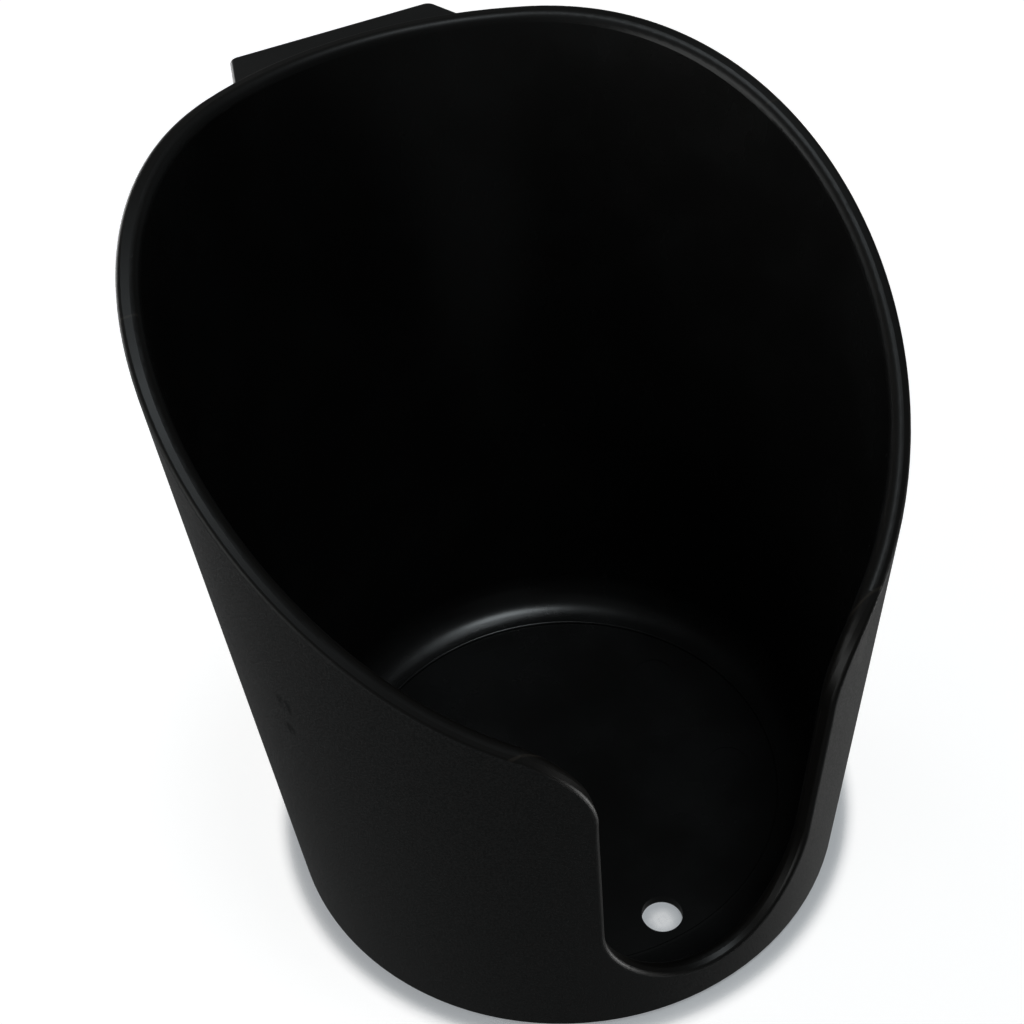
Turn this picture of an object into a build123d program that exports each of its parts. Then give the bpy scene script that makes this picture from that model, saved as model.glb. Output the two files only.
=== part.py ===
from build123d import *
import os
from math import atan, degrees, hypot, sqrt

# Desk clamp cup holder, in millimetres, +Z up.
# Every piece is drawn about the cup: y = 0 is the cup's axis, z = 0 is the cup's base, the mug slot
# faces -Y and the clamp stands behind the cup, towards +Y. save() then shifts it all so that the
# origin is the centre of the upper jaw pad's face, where the clamp rests on the desk top.

# Cup: a tapered bowl with a swept rim, high at the back and open at the front.
base_r = 43.55
taper = 0.057
cup_height = 111.4
wall = 2.8
floor_top = 2.0
floor_recess = 0.4
floor_recess_r = 34.6
floor_recess_round = 0.3
floor_fillet = 6.0
foot_edge = 1.0
rim_round_inside = 1.4
rim_round_outside = 0.6

# Rim seen from the side, as (y, z): a straight run-in, then one cubic curve to the flat back.
rim_run_in = (-60.0, 45.55)
rim_curve = [(-44.0, 60.33), (-11.37, 90.46), (24.08, cup_height), (43.15, cup_height)]

# Mug slot: a round-bottomed slot through the front wall, a little narrower at the bottom. Its sides
# turn outwards on a quarter ellipse that runs into the rim at (flare_x, flare_y, flare_top). The
# slot's lip rises inwards by slot_slope, and the flare's by the slope of the rim.
slot_half = 17.1
slot_draft = 0.0345
slot_top = 49.0
slot_bottom = 7.6
slot_y = -44.0
slot_slope = 0.3
flare_x = 27.75
flare_y = -36.3
flare_top = 67.55
flare_rise = 11.6
rim_slope = 0.87
drain_r = 3.1
drain_y = -30.1

# Four round witness marks that the ejector pins leave on the floor, at (+-x, +-y).
ejector_x = 24.6
ejector_y = 11.4
ejector_r = 3.3
ejector_sink = 0.12

# Hanging boss: a closed-topped pocket on the back of the cup. Its sides spread towards the wall.
boss_half = 15.6
boss_spread = 0.3
boss_back = 58.2
boss_top = 108.9
boss_bottom = 84.5
boss_corner = 1.5
boss_flare = 14.0
boss_edge = 0.5
boss_sink = 1.5
pocket_half = 12.3
pocket_front = 51.2
pocket_back = 54.8
pocket_top = 106.2

# Clamp frame: one steel strip bent into a C.
plate = 4.0
frame_half = 14.0
spine_front = 54.5
jaw_top = 82.0
jaw_end = 97.0
arm_bottom = 37.5
arm_end = 94.0
bend_r = 6.0
tip_r = 8.0

# Hanger plate, bolted to the front of the spine; its tongue fills the boss pocket.
tongue_half = 12.0
tongue_t = 3.0
hanger_bottom = 22.0
hanger_screw_z = (52.0, 68.0)
m5_r = 2.45
m5_head_r = 4.75
m5_head_t = 2.75

# Rubber pads.
jaw_pad_t = 1.5
jaw_pad_half = 12.0
jaw_pad_span = (62.5, 95.5)
edge_pad_t = 1.5
edge_pad_z = (48.0, 74.0)
bumper_half = 8.0
bumper_face = 46.1
bumper_z = (26.0, 38.0)
m3_r = 1.5

# Clamp screw and its swivel foot, on one vertical axis under the middle of the jaw pad.
reach = 79.0
screw_r = 3.95
fit_gap = 0.05
bush_body_r = 6.45
bush_flange_r = 9.5
bush_bottom = 35.5
bush_top = 42.8
ring_t = 1.0
shoulder_z = 43.2
washer_t = 0.8
journal_r = 2.5
clip_t = 0.6
foot_plate_r = 13.0
foot_plate_t = 3.5
foot_web = 1.5
foot_pad_t = 2.0
foot_pad_r = 12.5

# Knob: six lobes around a brass insert that is pinned to the screw.
knob_bottom = 2.0
knob_top = 12.5
knob_core_r = 12.6
lobe_r = 4.2
lobe_count = 6
insert_r = 6.0
cap_r = 9.0
cap_t = 1.6
pin_r = 1.0
pin_z = 8.0

# Worked out from the above.
desk_z = jaw_top - plate - jaw_pad_t
spine_back = spine_front + plate
tongue_back = spine_front
tongue_front = tongue_back - tongue_t
washer_top = shoulder_z + washer_t
foot_top = washer_top + foot_plate_t
clip_z = washer_top + foot_web + 0.15


def outer_r(z):
    """Outer radius of the cup's wall at a height."""
    return base_r + taper * z


def box(x0, x1, y0, y1, z0, z1):
    """A block between two corners."""
    return Pos((x0 + x1) / 2, (y0 + y1) / 2, (z0 + z1) / 2) * Box(x1 - x0, y1 - y0, z1 - z0)


def rod(r, z0, z1, x=0.0, y=0.0):
    """An upright round bar from z0 to z1."""
    return Pos(x, y, (z0 + z1) / 2) * Cylinder(r, z1 - z0)


def rod_y(r, y0, y1, z):
    """A round bar along Y at a height, on the middle plane."""
    return Pos(0, (y0 + y1) / 2, z) * Rot(90, 0, 0) * Cylinder(r, y1 - y0)


def tube(r_in, r_out, z0, z1, y=0.0):
    """An upright ring."""
    return rod(r_out, z0, z1, y=y) - rod(r_in, z0 - 1, z1 + 1, y=y)


def hexagon_y(across_flats, y0, y1, z):
    """A hexagonal bar along Y."""
    outline = Plane((0, y0, z), x_dir=(1, 0, 0), z_dir=(0, 1, 0))
    return extrude(outline * RegularPolygon(across_flats / sqrt(3), 6), y1 - y0)


def rounded_block(x_half, y0, y1, z0, z1, corner):
    """A block, symmetric about the middle plane, with rounded upright edges."""
    block = box(-x_half, x_half, y0, y1, z0, z1)
    return fillet(block.edges().filter_by(Axis.Z), corner)


# --- Cup -------------------------------------------------------------------------------------


def cup_blank():
    """The outside of the cup as a full tapered plug."""
    side = Polyline((0, 0), (base_r, 0), (outer_r(cup_height), cup_height), (0, cup_height), close=True)
    face = make_face(side)
    foot = face.vertices().sort_by_distance(Vector(base_r, 0, 0))[0]
    face = fillet(foot, foot_edge)
    return revolve(Plane.XZ * face, Axis.Z)


def cup_hollow():
    """The space inside the cup: tapered, with a filleted foot and a shallow round recess."""
    top = cup_height + 5
    low_r = outer_r(floor_top) - wall
    sunk = floor_top - floor_recess
    side = Polyline(
        (0, sunk),
        (floor_recess_r, sunk),
        (floor_recess_r, floor_top),
        (low_r, floor_top),
        (outer_r(top) - wall, top),
        (0, top),
        close=True,
    )
    face = make_face(side)
    for r, radius in ((low_r, floor_fillet), (floor_recess_r, floor_recess_round)):
        corner = face.vertices().sort_by_distance(Vector(r, floor_top, 0))[0]
        face = fillet(corner, radius)
    hollow = revolve(Plane.XZ * face, Axis.Z)
    for x in (-ejector_x, ejector_x):
        for y in (-ejector_y, ejector_y):
            hollow += rod(ejector_r, sunk - ejector_sink, sunk + 1, x=x, y=y)
    return hollow


def boss():
    """The pocket's outer block, flared into the wall and drafted like the wall."""
    sunk_r = outer_r(boss_top) - boss_sink
    root_half = boss_half + boss_spread * boss_back
    block = make_face(
        Polyline(
            (-boss_half, boss_back), (boss_half, boss_back), (root_half, 0), (-root_half, 0), close=True
        )
    )
    plan = Circle(sunk_r) + block
    root_x = boss_half + boss_spread * (boss_back - sunk_r)
    junction_y = sqrt(sunk_r**2 - root_x**2)
    for side in (-1, 1):
        inner = plan.vertices().sort_by_distance(Vector(side * root_x, junction_y, 0))[0]
        plan = fillet(inner, boss_flare)
        outer = plan.vertices().sort_by_distance(Vector(side * boss_half, boss_back, 0))[0]
        plan = fillet(outer, boss_corner)
    block = extrude(Pos(0, 0, boss_top) * plan, boss_bottom - boss_top, taper=degrees(atan(taper)))
    top_edges = block.faces().sort_by(Axis.Z)[-1].edges()
    return fillet([edge for edge in top_edges if edge.center().Y > junction_y], boss_edge)


def pocket():
    """The slot in the boss, closed on top, that drops over the tongue."""
    return box(-pocket_half, pocket_half, pocket_front, pocket_back, boss_bottom - 5, pocket_top)


def rim_cutter():
    """Everything above the rim, as a side outline run across the cup."""
    roof = cup_height + 20
    around = Polyline(rim_curve[-1], (70, cup_height), (70, roof), (-60, roof), rim_run_in, rim_curve[0])
    outline = make_face([Bezier(*rim_curve), around])
    return extrude(Plane.YZ * outline, 70, both=True)


def ruled(outline, y, slope):
    """A cutter through the front wall: an outline in the upright plane at y, run along a slope."""
    run = 14.0
    start = Plane((0, y - run, -run * slope), x_dir=(1, 0, 0), z_dir=(0, -1, 0))
    return extrude(start * outline, 2 * run * hypot(1, slope), dir=(0, 1, slope))


def slot_cutter():
    """The round-bottomed slot, as far up as the flare."""
    lean = 1 / hypot(1, slot_draft)
    low_half = slot_half - slot_draft * (slot_top - slot_bottom)
    arc_r = low_half * lean / (1 - slot_draft * lean)
    end_x = arc_r * lean
    end_z = slot_bottom + arc_r * (1 - slot_draft * lean)
    bottom = ThreePointArc((-end_x, end_z), (0, slot_bottom), (end_x, end_z))
    sides = Polyline(
        (end_x, end_z),
        (slot_half, slot_top),
        (slot_half, slot_top + 4),
        (-slot_half, slot_top + 4),
        (-slot_half, slot_top),
        (-end_x, end_z),
    )
    return ruled(make_face([bottom, sides]), slot_y, slot_slope)


def flare_cutter():
    """The slot's flared mouth."""
    foot_z = flare_top - flare_rise
    roof = cup_height - 20
    corner = EllipticalCenterArc((flare_x, foot_z), flare_x - slot_half, flare_rise, 90, arc_size=90)
    around = Polyline((slot_half, foot_z), (0, foot_z), (0, roof), (flare_x, roof), (flare_x, flare_top))
    right = make_face([corner, around])
    return ruled(right + mirror(right, Plane.YZ), flare_y, rim_slope)


def is_rim(edge):
    """True for an edge of the rim or slot, not of the floor or the boss."""
    middle = edge.center()
    level = edge.bounding_box().size.Z < 0.01
    on_boss = middle.Y > 40 and middle.Z < cup_height - 1
    return not on_boss and not (level and middle.Z < cup_height / 2)


def round_rim(cup):
    """Round the inner and then the outer edge of the rim and the slot."""
    for radius, place in ((rim_round_inside, -2), (rim_round_outside, -1)):
        wall_face = cup.faces().filter_by(GeomType.CONE).sort_by(SortBy.AREA)[place]
        cup = fillet([edge for edge in wall_face.edges() if is_rim(edge)], radius)
    return cup


def cup_shell():
    """The moulded cup with its boss, in one piece."""
    cup = cup_blank() + boss()
    cup = cup - cup_hollow() - pocket()
    cup = cup - rim_cutter() - slot_cutter() - flare_cutter()
    return round_rim(cup) - rod(drain_r, -1, floor_top + 1, y=drain_y)


# --- Clamp frame -----------------------------------------------------------------------------


def clamp_frame():
    """C-shaped strip: upper jaw, spine and lower arm, with rounded tips."""
    arm_top = arm_bottom + plate
    jaw_bottom = jaw_top - plate
    side = Polyline(
        (jaw_end, jaw_top),
        (spine_front, jaw_top),
        (spine_front, arm_bottom),
        (arm_end, arm_bottom),
        (arm_end, arm_top),
        (spine_back, arm_top),
        (spine_back, jaw_bottom),
        (jaw_end, jaw_bottom),
        close=True,
    )
    face = make_face(side)
    for z in (jaw_top, arm_bottom):
        corner = face.vertices().sort_by_distance(Vector(spine_front, z, 0))[0]
        face = fillet(corner, bend_r)
    for z in (jaw_bottom, arm_top):
        corner = face.vertices().sort_by_distance(Vector(spine_back, z, 0))[0]
        face = fillet(corner, bend_r - plate)
    strip = extrude(Plane.YZ * face, frame_half, both=True)
    tips = [e for e in strip.edges().filter_by(Axis.Z) if e.center().Y > arm_end - 1]
    strip = fillet(tips, tip_r)
    strip -= rod(bush_body_r + fit_gap, arm_bottom - 1, arm_top + 1, y=reach)
    for z in hanger_screw_z:
        strip -= rod_y(m5_r + fit_gap, spine_front - 1, spine_back + 1, z)
    return strip


def hanger_plate():
    """Flat bar up the front of the spine; its upper end is the tongue the cup hangs on."""
    bar = box(-tongue_half, tongue_half, tongue_front, tongue_back, hanger_bottom, pocket_top)
    corners = bar.edges().filter_by(Axis.Y)
    bar = fillet(corners, 3)
    for z in hanger_screw_z:
        bar -= rod_y(m5_r + 0.3, tongue_front - 1, tongue_back + 1, z)
    return bar - rod_y(m3_r + fit_gap, tongue_front - 1, tongue_back + 1, sum(bumper_z) / 2)


def hanger_screw(z):
    """Button-head socket screw through the hanger plate into the spine."""
    head = rod_y(m5_head_r, tongue_front - m5_head_t, tongue_front, z)
    face_edge = head.edges().sort_by(Axis.Y)[0]
    head = fillet(face_edge, 1.8)
    shank = rod_y(m5_r, tongue_front - 0.5, spine_back, z)
    return head + shank - hexagon_y(3, tongue_front - m5_head_t - 0.1, tongue_front - 1, z)


def upper_jaw_pad():
    """Rubber pad under the upper jaw; its lower face lies on the desk top."""
    y0, y1 = jaw_pad_span
    return rounded_block(jaw_pad_half, y0, y1, desk_z, desk_z + jaw_pad_t, 6)


def edge_pad():
    """Rubber strip on the back of the spine that meets the desk's edge."""
    z0, z1 = edge_pad_z
    strip = box(-jaw_pad_half, jaw_pad_half, spine_back, spine_back + edge_pad_t, z0, z1)
    return fillet(strip.edges().filter_by(Axis.Y), 3)


def cup_bumper():
    """Rubber block that the cup's wall leans on, with a sunk hole for its screw."""
    z0, z1 = bumper_z
    block = box(-bumper_half, bumper_half, bumper_face, tongue_front, z0, z1)
    block = fillet(block.edges().filter_by(Axis.Y), 2)
    middle = (z0 + z1) / 2
    block -= rod_y(3.2, bumper_face - 1, bumper_face + 3.6, middle)
    return block - rod_y(m3_r + fit_gap, bumper_face, tongue_front + 1, middle)


def bumper_screw():
    """Small pan-head screw that holds the bumper."""
    middle = sum(bumper_z) / 2
    head_back = bumper_face + 3.6
    head = rod_y(2.9, head_back - 2, head_back, middle)
    shank = rod_y(m3_r, head_back - 0.5, tongue_back + 3.0, middle)
    return head + shank - hexagon_y(2, head_back - 2.1, head_back - 0.9, middle)


def bumper_nut():
    """Nut behind the hanger plate."""
    middle = sum(bumper_z) / 2
    nut = hexagon_y(5.5, tongue_back, tongue_back + 2.4, middle)
    return nut - rod_y(m3_r + fit_gap, tongue_back - 1, tongue_back + 4, middle)


# --- Screw, foot and knob --------------------------------------------------------------------


def threaded_bush():
    """Flanged bronze bush in the lower arm that the screw runs in."""
    flange = rod(bush_flange_r, bush_bottom, arm_bottom, y=reach)
    flange = chamfer(flange.edges().sort_by(Axis.Z)[0], 0.5)
    body = rod(bush_body_r, arm_bottom - 0.5, bush_top, y=reach)
    return flange + body - rod(screw_r + fit_gap, bush_bottom - 1, bush_top + 1, y=reach)


def bush_retaining_ring():
    """Ring pressed on the bush above the arm."""
    arm_top = arm_bottom + plate
    return tube(bush_body_r + fit_gap, bush_flange_r - 0.5, arm_top, arm_top + ring_t, y=reach)


def clamp_screw():
    """Threaded spindle with a shouldered journal and a clip groove at the top."""
    spindle = rod(screw_r, knob_bottom + cap_t + 0.4, shoulder_z, y=reach)
    spindle = chamfer(spindle.edges().filter_by(GeomType.CIRCLE), 0.5)
    journal = rod(journal_r, shoulder_z - 0.5, foot_top - 0.6, y=reach)
    groove = tube(journal_r - 0.5, journal_r + 1, clip_z, clip_z + clip_t, y=reach)
    return spindle + journal - groove - cross_hole()


def cross_hole():
    """Hole across the screw and the insert for the pin."""
    return Pos(0, reach, pin_z) * Rot(0, 90, 0) * Cylinder(pin_r + fit_gap, 4 * insert_r)


def thrust_washer():
    """Washer between the screw's shoulder and the foot plate."""
    return tube(journal_r + fit_gap, 6, shoulder_z, washer_top, y=reach)


def pressure_plate():
    """Round steel foot that turns freely on the screw's journal."""
    disc = rod(foot_plate_r, washer_top, foot_top, y=reach)
    disc = chamfer(disc.edges().sort_by(Axis.Z)[0], 1.2)
    disc -= rod(5.5, washer_top + foot_web, foot_top + 1, y=reach)
    return disc - rod(journal_r + fit_gap, washer_top - 1, foot_top, y=reach)


def retaining_clip():
    """Open clip in the journal's groove that holds the foot on the screw."""
    ring = tube(journal_r - 0.45, 4.6, clip_z + 0.02, clip_z + clip_t - 0.02, y=reach)
    mouth = box(-1.6, 1.6, reach, reach + 6, clip_z - 1, clip_z + 2)
    return ring - mouth


def pressure_pad():
    """Rubber pad on the foot, with one round groove."""
    pad = rod(foot_pad_r, foot_top, foot_top + foot_pad_t, y=reach)
    pad = fillet(pad.edges().sort_by(Axis.Z)[-1], 0.6)
    top = foot_top + foot_pad_t
    return pad - tube(7.6, 8.4, top - 0.6, top + 1, y=reach)


def knob():
    """Six-lobed hand knob with a sunk underside for its cap."""
    lobes = PolarLocations(knob_core_r - 0.3, lobe_count) * Circle(lobe_r)
    outline = Circle(knob_core_r) + lobes
    outline = fillet(outline.vertices(), 2.2)
    body = extrude(Pos(0, reach, knob_bottom) * outline, knob_top - knob_bottom)
    rims = body.edges().group_by(Axis.Z)
    body = fillet(rims[0] + rims[-1], 1.2)
    body -= rod(cap_r, knob_bottom - 1, knob_bottom + cap_t, y=reach)
    return body - rod(insert_r + fit_gap, knob_bottom, knob_top + 1, y=reach)


def knob_insert():
    """Brass insert in the knob's middle."""
    body = rod(insert_r, knob_bottom + cap_t + 0.2, knob_top, y=reach)
    return body - rod(screw_r + fit_gap, 0, knob_top + 1, y=reach) - cross_hole()


def knob_pin():
    """Pin through the insert and the screw."""
    return Pos(0, reach, pin_z) * Rot(0, 90, 0) * Cylinder(pin_r, 2 * insert_r - 0.6)


def knob_cap():
    """Plug that closes the knob's underside."""
    cap = rod(cap_r - fit_gap, knob_bottom, knob_bottom + cap_t, y=reach)
    return fillet(cap.edges().sort_by(Axis.Z)[0], 0.5)


def save(name, shape):
    """Shift a piece to the frame of the desk top and write it."""
    export_step(Pos(0, -reach, -desk_z) * shape, f"parts/{name}.step")


os.makedirs("parts", exist_ok=True)
save("cup_shell", cup_shell())
save("clamp_frame", clamp_frame())
save("hanger_plate", hanger_plate())
save("hanger_screws", Compound([hanger_screw(z) for z in hanger_screw_z]))
save("upper_jaw_pad", upper_jaw_pad())
save("edge_pad", edge_pad())
save("cup_bumper", cup_bumper())
save("bumper_screw", bumper_screw())
save("bumper_nut", bumper_nut())
save("threaded_bush", threaded_bush())
save("bush_retaining_ring", bush_retaining_ring())
save("clamp_screw", clamp_screw())
save("thrust_washer", thrust_washer())
save("pressure_plate", pressure_plate())
save("retaining_clip", retaining_clip())
save("pressure_pad", pressure_pad())
save("knob", knob())
save("knob_insert", knob_insert())
save("knob_pin", knob_pin())
save("knob_cap", knob_cap())
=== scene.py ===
from math import cos, radians, sin, tau

import bmesh
import bpy
from mathutils import Euler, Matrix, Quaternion, Vector


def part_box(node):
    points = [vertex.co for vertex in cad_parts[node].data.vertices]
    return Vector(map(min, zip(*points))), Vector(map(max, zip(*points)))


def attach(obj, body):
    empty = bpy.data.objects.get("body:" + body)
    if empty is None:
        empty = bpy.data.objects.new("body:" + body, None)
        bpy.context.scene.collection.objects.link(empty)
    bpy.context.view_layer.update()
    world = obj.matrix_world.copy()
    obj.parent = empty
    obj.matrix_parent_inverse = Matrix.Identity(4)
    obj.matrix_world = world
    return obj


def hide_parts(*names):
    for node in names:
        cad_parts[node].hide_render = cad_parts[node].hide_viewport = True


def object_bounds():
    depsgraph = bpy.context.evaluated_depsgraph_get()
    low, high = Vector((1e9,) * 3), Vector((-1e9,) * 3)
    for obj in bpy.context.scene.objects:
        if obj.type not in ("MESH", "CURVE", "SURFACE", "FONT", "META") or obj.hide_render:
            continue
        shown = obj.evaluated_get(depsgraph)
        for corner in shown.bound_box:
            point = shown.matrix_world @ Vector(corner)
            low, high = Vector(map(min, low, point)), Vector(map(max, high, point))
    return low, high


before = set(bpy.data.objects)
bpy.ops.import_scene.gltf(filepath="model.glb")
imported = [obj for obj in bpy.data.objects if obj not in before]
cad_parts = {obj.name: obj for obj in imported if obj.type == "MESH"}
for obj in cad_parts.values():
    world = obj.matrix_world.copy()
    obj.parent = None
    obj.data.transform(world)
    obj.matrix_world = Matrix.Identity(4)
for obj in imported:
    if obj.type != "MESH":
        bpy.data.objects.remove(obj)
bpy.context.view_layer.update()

# Desk clamp cup holder, in metres, in the frame of the CAD model: the origin is the middle of the
# upper jaw pad's face and +Z is up. The cup stands in front of the clamp, towards -Y.

MM = 0.001

# The cup, as in the CAD model: the middle of its base, the base's radius, how much the radius grows
# with height, and its wall.
CUP_Y = -79 * MM
CUP_BASE_Z = -76.5 * MM
BASE_R = 43.55 * MM
TAPER = 0.057
WALL = 2.8 * MM

# The heights over the cup's base between which the grain ends, at the top of the pocket.
POCKET_TOP = (108.2 * MM, 108.7 * MM)

# Thin flash lines that the mould's slides left across the rim: their y from the cup's axis, and the
# height over the base under which there are none, in the mug slot.
RIM_LINES = (-38.95 * MM, 14.6 * MM)
RIM_LINES_FROM = 30 * MM

# Places on the outer wall rubbed darker: x, y and z from the middle of the cup's base and the
# radius, all in millimetres.
SCUFFS = ((-44.8, -14.0, 61.0, 2.1), (-44.7, -13.3, 55.8, 1.6))

# The spindle's thread: its pitch and depth, the levels it is cut between, where in each turn the four
# corners of its profile lie, and the length over which it fades out at either end.
PITCH = 2 * MM
THREAD_DEPTH = 0.85 * MM
THREAD_BOTTOM = -62.5 * MM
THREAD_TOP = -34.2 * MM
THREAD_CORNERS = (0.0, 0.34, 0.5, 0.84)
RUN_OUT = 0.8 * PITCH

# The spindle's ends: the bevels, and the journal on top with a groove for the retaining clip.
BEVEL = 0.5 * MM
JOURNAL_R = 2.5 * MM
JOURNAL_FOOT = -33.3 * MM
GROOVE_FOOT = -30.85 * MM
GROOVE_WIDTH = 0.6 * MM
GROOVE_DEPTH = 0.5 * MM

# Points closer than this are one point, where the spindle's first and last lines meet.
SEAM_GAP = 1e-7

# The camera looks down into the cup, over the mug slot.
EYE = Vector((-71.89, -220.71, 128.38)) * MM
VIEW_AZIMUTH = radians(25.18)
VIEW_DOWN = radians(42.17)
VIEW_ROLL = radians(4.755)
FOCAL_LENGTH = 54.49

# Lights: name, azimuth, elevation and spread in degrees, strength and colour.
SUNS = (
    ("right", 66, -25, 30, 1.0, (1.0, 1.0, 0.99)),
    ("left", -80, 9, 50, 0.85, (0.98, 1.0, 0.99)),
    ("back", 205, 3, 50, 2.0, (1.0, 1.0, 1.0)),
    ("top", 40, 80, 14, 0.55, (0.92, 1.0, 1.04)),
)
ROOM_GLOW = 0.06
FLOOR_GLOW = 0.85

# The floor's half width, and how near to the object its painted contact shadow reaches.
FLOOR_HALF = 8.0
PAINTED_SHADOW_REACH = 4 * MM


class Paint:
    """A material with one Principled shader, and short ways to add and wire its nodes."""

    def __init__(self, name, **fixed):
        self.material = bpy.data.materials.new(name)
        self.material.use_nodes = True
        self.tree = self.material.node_tree
        self.shader = self.tree.nodes["Principled BSDF"]
        for socket, value in fixed.items():
            self.shader.inputs[socket.replace("_", " ")].default_value = value

    def add(self, kind, inputs=(), out=0, **settings):
        """Add a node, fill its inputs in order or by name, and give back one of its outputs."""
        node = self.tree.nodes.new("ShaderNode" + kind)
        for name, value in settings.items():
            setattr(node, name, value)
        pairs = inputs.items() if isinstance(inputs, dict) else enumerate(inputs)
        for key, value in pairs:
            if isinstance(value, bpy.types.NodeSocket):
                self.tree.links.new(value, node.inputs[key])
            else:
                node.inputs[key].default_value = value
        return node.outputs[out]

    def math(self, operation, *inputs):
        return self.add("Math", inputs, operation=operation)

    def place(self):
        """The point on the object, in metres, which stays with the piece when it moves."""
        return self.add("TexCoord", out="Object")

    def noise(self, size, detail=2.0, stretch=(1, 1, 1)):
        """Noise from 0 to 1 with features of about the given size in metres."""
        point = self.add("Mapping", {"Vector": self.place(), "Scale": stretch})
        return self.add("TexNoise", {"Vector": point, "Scale": 1 / size, "Detail": detail})

    def spread(self, value, low, high, to_low=0.0, to_high=1.0):
        """Map a value from one range to another, clamped, with soft ends."""
        inputs = {"Value": value, "From Min": low, "From Max": high, "To Min": to_low, "To Max": to_high}
        return self.add("MapRange", inputs, interpolation_type="SMOOTHSTEP")

    def vary(self, noise, low=0.0, high=1.0):
        """A value from low to high that follows the middle of a noise's range."""
        return self.spread(noise, 0.3, 0.7, low, high)

    def blend(self, share, first, second):
        """A value between two values."""
        return self.add("Mix", {0: share, 2: first, 3: second}, data_type="FLOAT")

    def tint(self, share, first, second):
        """A colour between two colours."""
        return self.add("Mix", {0: share, 6: first, 7: second}, out=2, data_type="RGBA")

    def edges(self, width):
        """1 on edges and corners, 0 on open faces: where wear shows."""
        rounded = self.add("Bevel", {"Radius": width}, samples=4)
        plain = self.add("NewGeometry", out="Normal")
        along = self.add("VectorMath", (rounded, plain), out="Value", operation="DOT_PRODUCT")
        return self.spread(along, 0.99, 0.80)

    def finish(self, colour, roughness, height=None, depth=0.0, **more):
        """Wire colour, roughness and relief into the shader. The relief's depth is in metres."""
        self.wire("Base Color", colour)
        self.wire("Roughness", roughness)
        if height is not None:
            self.wire("Normal", self.add("Bump", {"Strength": 1.0, "Distance": depth, "Height": height}))
        for socket, value in more.items():
            self.wire(socket.replace("_", " "), value)
        return self.material

    def wire(self, socket, value):
        self.tree.links.new(value, self.shader.inputs[socket])


def grey(level, warm=0.0):
    """A linear colour near grey; warm above 0 leans to brown, below 0 to blue."""
    return (level * (1 + warm), level, level * (1 - warm), 1.0)


def on_cup(paint):
    """The point on the cup, from the middle of its base: x, y and z outputs in metres."""
    at = paint.add("VectorMath", (paint.place(), (0, CUP_Y, CUP_BASE_Z)), operation="SUBTRACT")
    return [paint.add("SeparateXYZ", (at,), out=i) for i in range(3)]


def either(paint, masks):
    """1 where any of the masks is 1."""
    joined = masks[0]
    for mask in masks[1:]:
        joined = paint.math("MAXIMUM", joined, mask)
    return joined


def rim_lines(paint, y):
    """1 on the thin planes where the mould's slides met."""
    lines = []
    for level in RIM_LINES:
        away = paint.math("ABSOLUTE", paint.math("SUBTRACT", y, level))
        lines.append(paint.spread(away, 0.2 * MM, 0.07 * MM))
    return either(paint, lines)


def cup_zones(paint):
    """1 on each zone of the cup and 0 elsewhere: its textured outside, its rim with the rounding
    inside, the flat land between the rim's roundings, and the flash lines on that land."""
    x, y, z = on_cup(paint)
    radius = paint.math("SQRT", paint.math("MULTIPLY_ADD", x, x, paint.math("MULTIPLY", y, y)))
    proud = paint.math("SUBTRACT", radius, paint.math("MULTIPLY_ADD", z, TAPER, BASE_R))
    on_pocket = paint.spread(proud, 0.3 * MM, 0.6 * MM)
    pocket_top = paint.math("MULTIPLY", on_pocket, paint.spread(z, *POCKET_TOP))
    outer_face = paint.spread(proud, -0.16 * MM, -0.06 * MM)
    outside = paint.math("MULTIPLY", outer_face, paint.math("SUBTRACT", 1.0, pocket_top))
    rim = paint.spread(proud, -0.99 * WALL, -0.9 * WALL)
    past_inner_edge = paint.spread(proud, -0.9 * WALL, -0.8 * WALL)
    land = paint.math("MULTIPLY", past_inner_edge, paint.spread(proud, 0, -0.3 * MM))
    high_land = paint.math("MULTIPLY", land, paint.math("GREATER_THAN", z, RIM_LINES_FROM))
    flash = paint.math("MULTIPLY", rim_lines(paint, y), high_land)
    return outside, rim, land, flash


def scuffs(paint):
    """1 on the scuffed places, broken up along the direction of the rub."""
    marks = []
    for x, y, z, reach in SCUFFS:
        middle = (x * MM, y * MM + CUP_Y, z * MM + CUP_BASE_Z)
        away = paint.add("VectorMath", (paint.place(), middle), out="Value", operation="DISTANCE")
        marks.append(paint.spread(away, reach * MM, reach * 0.4 * MM))
    streaks = paint.spread(paint.noise(0.8 * MM, 3.0, stretch=(1, 1, 0.3)), 0.4, 0.55)
    return paint.math("MULTIPLY", either(paint, marks), streaks)


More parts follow.
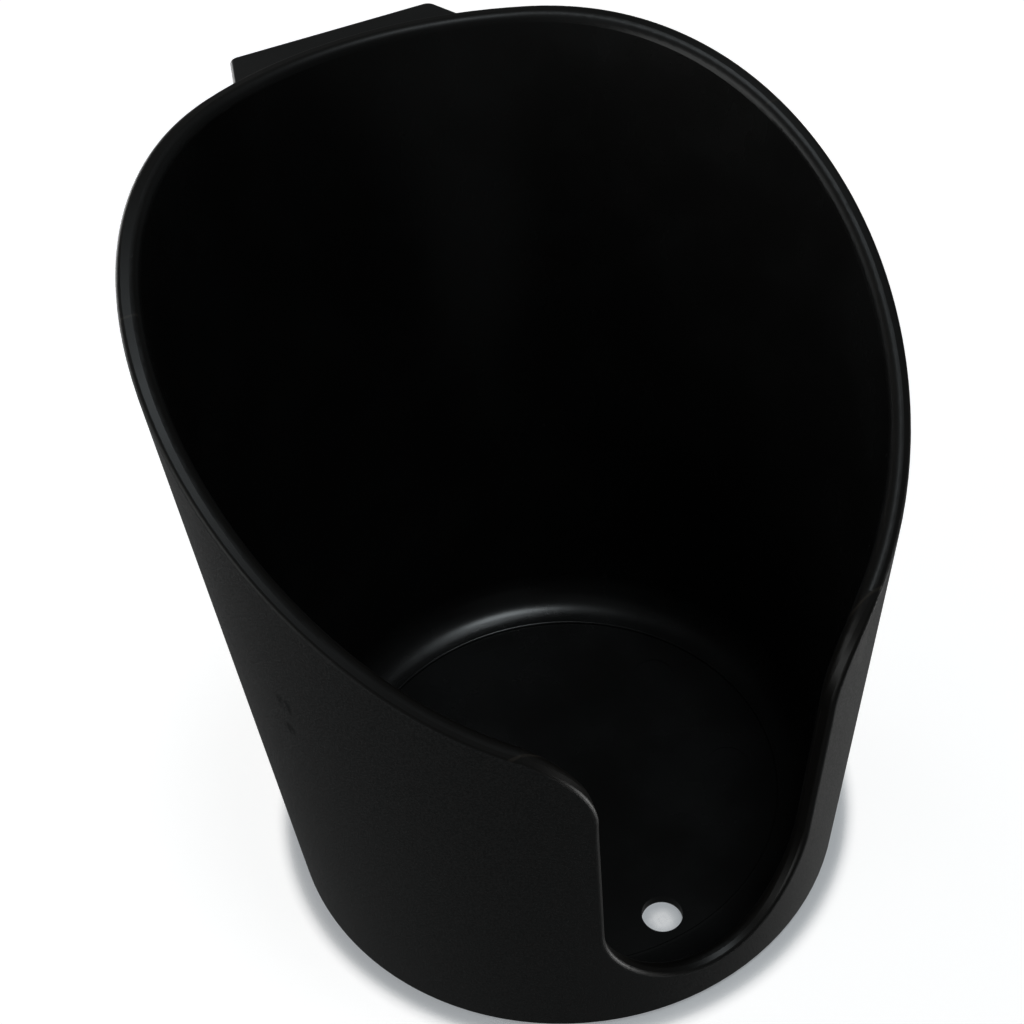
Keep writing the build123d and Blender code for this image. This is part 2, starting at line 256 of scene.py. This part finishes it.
def moulded_black():
    """Injection-moulded black plastic: spark-textured outside, smooth inside and on the rim."""
    paint = Paint("moulded_black", Specular_IOR_Level=0.35)
    outside, rim, land, flash = cup_zones(paint)
    rubbed = scuffs(paint)
    grain = paint.noise(0.3 * MM, 3.0)
    cloud = paint.noise(14 * MM, 4.0)
    smooth_colour = paint.tint(paint.spread(cloud, 0.35, 0.7), grey(0.009, 0.02), grey(0.013))
    smooth_colour = paint.tint(land, smooth_colour, grey(0.005, 0.12))
    grain_colour = paint.tint(paint.vary(grain), grey(0.007, -0.02), grey(0.018, -0.01))
    grain_colour = paint.tint(rubbed, grain_colour, grey(0.002))
    colour = paint.tint(outside, smooth_colour, grain_colour)
    colour = paint.tint(flash, colour, grey(0.022, 0.2))
    haze = paint.spread(paint.noise(6 * MM, 6.0, stretch=(1, 1, 0.4)), 0.5, 0.75, 0.0, 0.03)
    smooth_rough = paint.math("ADD", paint.blend(rim, paint.vary(cloud, 0.24, 0.27), 0.42), haze)
    grain_rough = paint.blend(rubbed, paint.vary(grain, 0.5, 0.72), 0.4)
    roughness = paint.blend(outside, smooth_rough, grain_rough)
    return paint.finish(colour, roughness, paint.math("MULTIPLY", grain, outside), 0.045 * MM)


def frame_coat():
    """Black powder coat: fine orange peel, thin and grey along the edges."""
    paint = Paint("frame_coat", Metallic=0.0)
    peel = paint.noise(0.9 * MM, 2.0)
    cloud = paint.noise(20 * MM, 4.0)
    worn = paint.math("MULTIPLY", paint.edges(0.5 * MM), paint.spread(paint.noise(3 * MM, 4.0), 0.45, 0.65))
    colour = paint.tint(paint.vary(cloud), grey(0.014), grey(0.022, 0.03))
    colour = paint.tint(worn, colour, grey(0.12))
    roughness = paint.blend(worn, paint.vary(peel, 0.42, 0.6), 0.35)
    return paint.finish(colour, roughness, peel, 0.06 * MM)


def turned_steel(name, level, warm, rough):
    """Plated or bare steel: fine lines from turning, spotted and brighter on worn edges."""
    paint = Paint(name, Metallic=1.0)
    lines = paint.noise(0.25 * MM, 3.0, stretch=(0.05, 0.05, 1))
    cloud = paint.noise(4 * MM, 5.0)
    worn = paint.edges(0.3 * MM)
    colour = paint.tint(paint.spread(cloud, 0.3, 0.75), grey(level, warm), grey(level * 0.62, warm * 1.5))
    colour = paint.tint(worn, colour, grey(min(level * 1.5, 0.9), warm / 2))
    roughness = paint.blend(worn, paint.vary(lines, rough * 0.8, rough * 1.3), rough * 0.7)
    return paint.finish(colour, roughness, lines, 0.01 * MM)


def pad_rubber():
    """Dull black rubber with a fine skin, dust and a few pale scuffs."""
    paint = Paint("pad_rubber", Specular_IOR_Level=0.3)
    skin = paint.noise(0.35 * MM, 3.0)
    dust = paint.spread(paint.noise(5 * MM, 6.0), 0.5, 0.75)
    worn = paint.edges(0.5 * MM)
    colour = paint.tint(dust, grey(0.016), grey(0.04, 0.08))
    colour = paint.tint(paint.math("MULTIPLY", worn, 0.5), colour, grey(0.07, 0.05))
    return paint.finish(colour, paint.vary(skin, 0.72, 0.92), skin, 0.04 * MM)


def knob_plastic():
    """Glass-filled black plastic with a fine texture, polished where fingers turn it."""
    paint = Paint("knob_plastic")
    grain = paint.noise(0.4 * MM, 3.0)
    worn = paint.edges(1.2 * MM)
    cloud = paint.noise(8 * MM, 3.0)
    colour = paint.tint(paint.vary(cloud), grey(0.012), grey(0.02, -0.03))
    colour = paint.tint(paint.math("MULTIPLY", worn, 0.5), colour, grey(0.035))
    roughness = paint.blend(worn, paint.vary(grain, 0.48, 0.66), 0.3)
    return paint.finish(colour, roughness, grain, 0.03 * MM)


def bronze():
    """Sintered bronze: fine pores and a darker oiled tone in patches."""
    paint = Paint("bronze", Metallic=1.0)
    pores = paint.spread(paint.noise(0.4 * MM, 3.0), 0.35, 0.6)
    cloud = paint.noise(4 * MM, 4.0)
    colour = paint.tint(paint.vary(cloud), (0.42, 0.24, 0.09, 1), (0.25, 0.14, 0.055, 1))
    colour = paint.tint(paint.edges(0.3 * MM), colour, (0.6, 0.38, 0.16, 1))
    return paint.finish(colour, paint.vary(cloud, 0.3, 0.5), pores, 0.02 * MM)


def paint_nodes():
    """Give every CAD node the finish of its slot in the record, and hand the finishes on."""
    finishes = {
        "moulded_black": moulded_black(),
        "frame_coat": frame_coat(),
        "screw_steel": turned_steel("screw_steel", 0.5, -0.02, 0.3),
        "spring_steel": turned_steel("spring_steel", 0.16, -0.06, 0.42),
        "foot_zinc": turned_steel("foot_zinc", 0.42, -0.05, 0.4),
        "bronze": bronze(),
        "pad_rubber": pad_rubber(),
        "knob_plastic": knob_plastic(),
    }
    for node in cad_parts.values():
        for held in node.material_slots:
            held.material = finishes[held.material.name.split(".")[0]]
    return finishes


def mesh_object(name, points, faces, material):
    """A mesh made from points and faces, with one material."""
    mesh = bpy.data.meshes.new(name)
    mesh.from_pydata(points, [], faces)
    mesh.materials.append(material)
    made = bpy.data.objects.new(name, mesh)
    bpy.context.scene.collection.objects.link(made)
    return made


def thread_depth(level, step):
    """How deep the thread is cut at one of the four corners of its profile."""
    if step % 4 in (0, 1):
        return 0.0
    fade = min(level - THREAD_BOTTOM, THREAD_TOP - level) / RUN_OUT
    return THREAD_DEPTH * max(0.0, min(1.0, fade))


def spindle_column(turned):
    """Radii and levels up one line of the spindle, at a part of a turn from 0 to 1."""
    low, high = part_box("clamp_screw")
    radius = high.x
    column = [(0, low.z), (radius - BEVEL, low.z), (radius, low.z + BEVEL), (radius, THREAD_BOTTOM)]
    turns = int((THREAD_TOP - THREAD_BOTTOM) / PITCH) + 3
    for step in range(4 * turns):
        level = THREAD_BOTTOM + PITCH * (step // 4 + THREAD_CORNERS[step % 4] + turned - 1)
        level = max(THREAD_BOTTOM, min(THREAD_TOP, level))
        column.append((radius - thread_depth(level, step), level))
    column += [(radius, THREAD_TOP), (radius, JOURNAL_FOOT - BEVEL), (radius - BEVEL, JOURNAL_FOOT)]
    column += [(JOURNAL_R, JOURNAL_FOOT), (JOURNAL_R, GROOVE_FOOT)]
    groove_top = GROOVE_FOOT + GROOVE_WIDTH
    column += [(JOURNAL_R - GROOVE_DEPTH, GROOVE_FOOT), (JOURNAL_R - GROOVE_DEPTH, groove_top)]
    return column + [(JOURNAL_R, groove_top), (JOURNAL_R, high.z), (0, high.z)]


def clamp_spindle(material):
    """The clamp screw with a cut thread, in place of its plain CAD bar."""
    around = 64
    points = []
    for part in range(around + 1):
        angle = tau * part / around
        column = spindle_column(part / around)
        points += [(radius * cos(angle), radius * sin(angle), level) for radius, level in column]
    rows = len(points) // (around + 1)
    faces = []
    for part in range(around):
        for row in range(rows - 1):
            corner = part * rows + row
            faces.append((corner, corner + rows, corner + rows + 1, corner + 1))
    spindle = mesh_object("clamp_spindle", points, faces, material)
    shape = bmesh.new()
    shape.from_mesh(spindle.data)
    bmesh.ops.remove_doubles(shape, verts=shape.verts, dist=SEAM_GAP)
    bmesh.ops.recalc_face_normals(shape, faces=shape.faces)
    shape.to_mesh(spindle.data)
    shape.free()
    spindle.data.shade_smooth()
    spindle.data.set_sharp_from_angle(angle=radians(30))
    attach(spindle, "screw")
    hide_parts("clamp_screw")


def floor_paper():
    """Pale paper that glows, so that it stays near white, with a painted contact shadow in its glow right
    beside and under the object.
    """
    paper = Paint("floor_paper", Emission_Strength=FLOOR_GLOW)
    cloud = paper.noise(0.15, 3.0)
    shade = paper.tint(cloud, grey(0.5), grey(0.53))
    # Painted shadow: the paper's glow is dimmed where the object is near, round the cup's base and under
    # its drain hole.
    open_sky = paper.add("AmbientOcclusion", {"Distance": PAINTED_SHADOW_REACH}, out="AO", samples=8)
    glow_with_painted_shadow = paper.tint(paper.spread(open_sky, 0.68, 1.0), grey(0.3, -0.05), grey(1.0))
    return paper.finish(shade, paper.spread(cloud, 0, 1, 0.85, 0.95), Emission_Color=glow_with_painted_shadow)


def sky_dome(radius):
    """A plain white dome all round."""
    white = Paint("sky_white", Base_Color=(0, 0, 0, 1), Emission_Color=(1, 1, 1, 1), Emission_Strength=1.0)
    sky = bpy.data.objects.new("sky", bpy.data.meshes.new("sky"))
    dome = bmesh.new()
    bmesh.ops.create_icosphere(dome, subdivisions=3, radius=radius)
    dome.to_mesh(sky.data)
    dome.free()
    sky.data.materials.append(white.material)
    bpy.context.scene.collection.objects.link(sky)
    return sky


def set_stage():
    """A wide pale floor just under the lowest piece, and a white sky behind it. Black plastic shows
    every reflection, so the object doesn't mirror either of them, as if it stood on a dark table."""
    half = FLOOR_HALF
    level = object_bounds()[0].z - 0.05 * MM
    corners = [(-half, -half, level), (half, -half, level), (half, half, level), (-half, half, level)]
    ground = mesh_object("floor", corners, [(0, 1, 2, 3)], floor_paper())
    sky = sky_dome(half * 0.99)
    for thing in (ground, sky):
        thing.visible_diffuse = False
        thing.visible_glossy = False
        thing.visible_shadow = False


def sun(name, azimuth, elevation, spread, strength, colour):
    """A soft box far away. Azimuth 0 stands at -Y and 90 at +X."""
    lamp = bpy.data.lights.new(name, "SUN")
    lamp.energy = strength
    lamp.angle = radians(spread)
    lamp.color = colour
    holder = bpy.data.objects.new(name, lamp)
    holder.rotation_euler = (radians(90 - elevation), 0, radians(azimuth))
    bpy.context.scene.collection.objects.link(holder)


def lights():
    """Soft boxes on all sides and above, in a dim room."""
    world = bpy.data.worlds.new("room")
    world.use_nodes = True
    world.node_tree.nodes["Background"].inputs["Color"].default_value = (0.95, 1.0, 1.0, 1)
    world.node_tree.nodes["Background"].inputs["Strength"].default_value = ROOM_GLOW
    bpy.context.scene.world = world
    for light in SUNS:
        sun(*light)


def camera():
    """The photograph's viewpoint."""
    lens = bpy.data.cameras.new("camera")
    lens.lens = FOCAL_LENGTH
    lens.sensor_width = 36
    lens.clip_start = 10 * MM
    holder = bpy.data.objects.new("camera", lens)
    holder.rotation_mode = "QUATERNION"
    level = Euler((radians(90) - VIEW_DOWN, 0, -VIEW_AZIMUTH)).to_quaternion()
    holder.rotation_quaternion = level @ Quaternion((0, 0, 1), -VIEW_ROLL)
    holder.location = EYE
    bpy.context.scene.collection.objects.link(holder)
    bpy.context.scene.camera = holder


finishes = paint_nodes()
clamp_spindle(finishes["screw_steel"])
set_stage()
lights()
camera()
bpy.context.scene.view_settings.view_transform = "Standard"
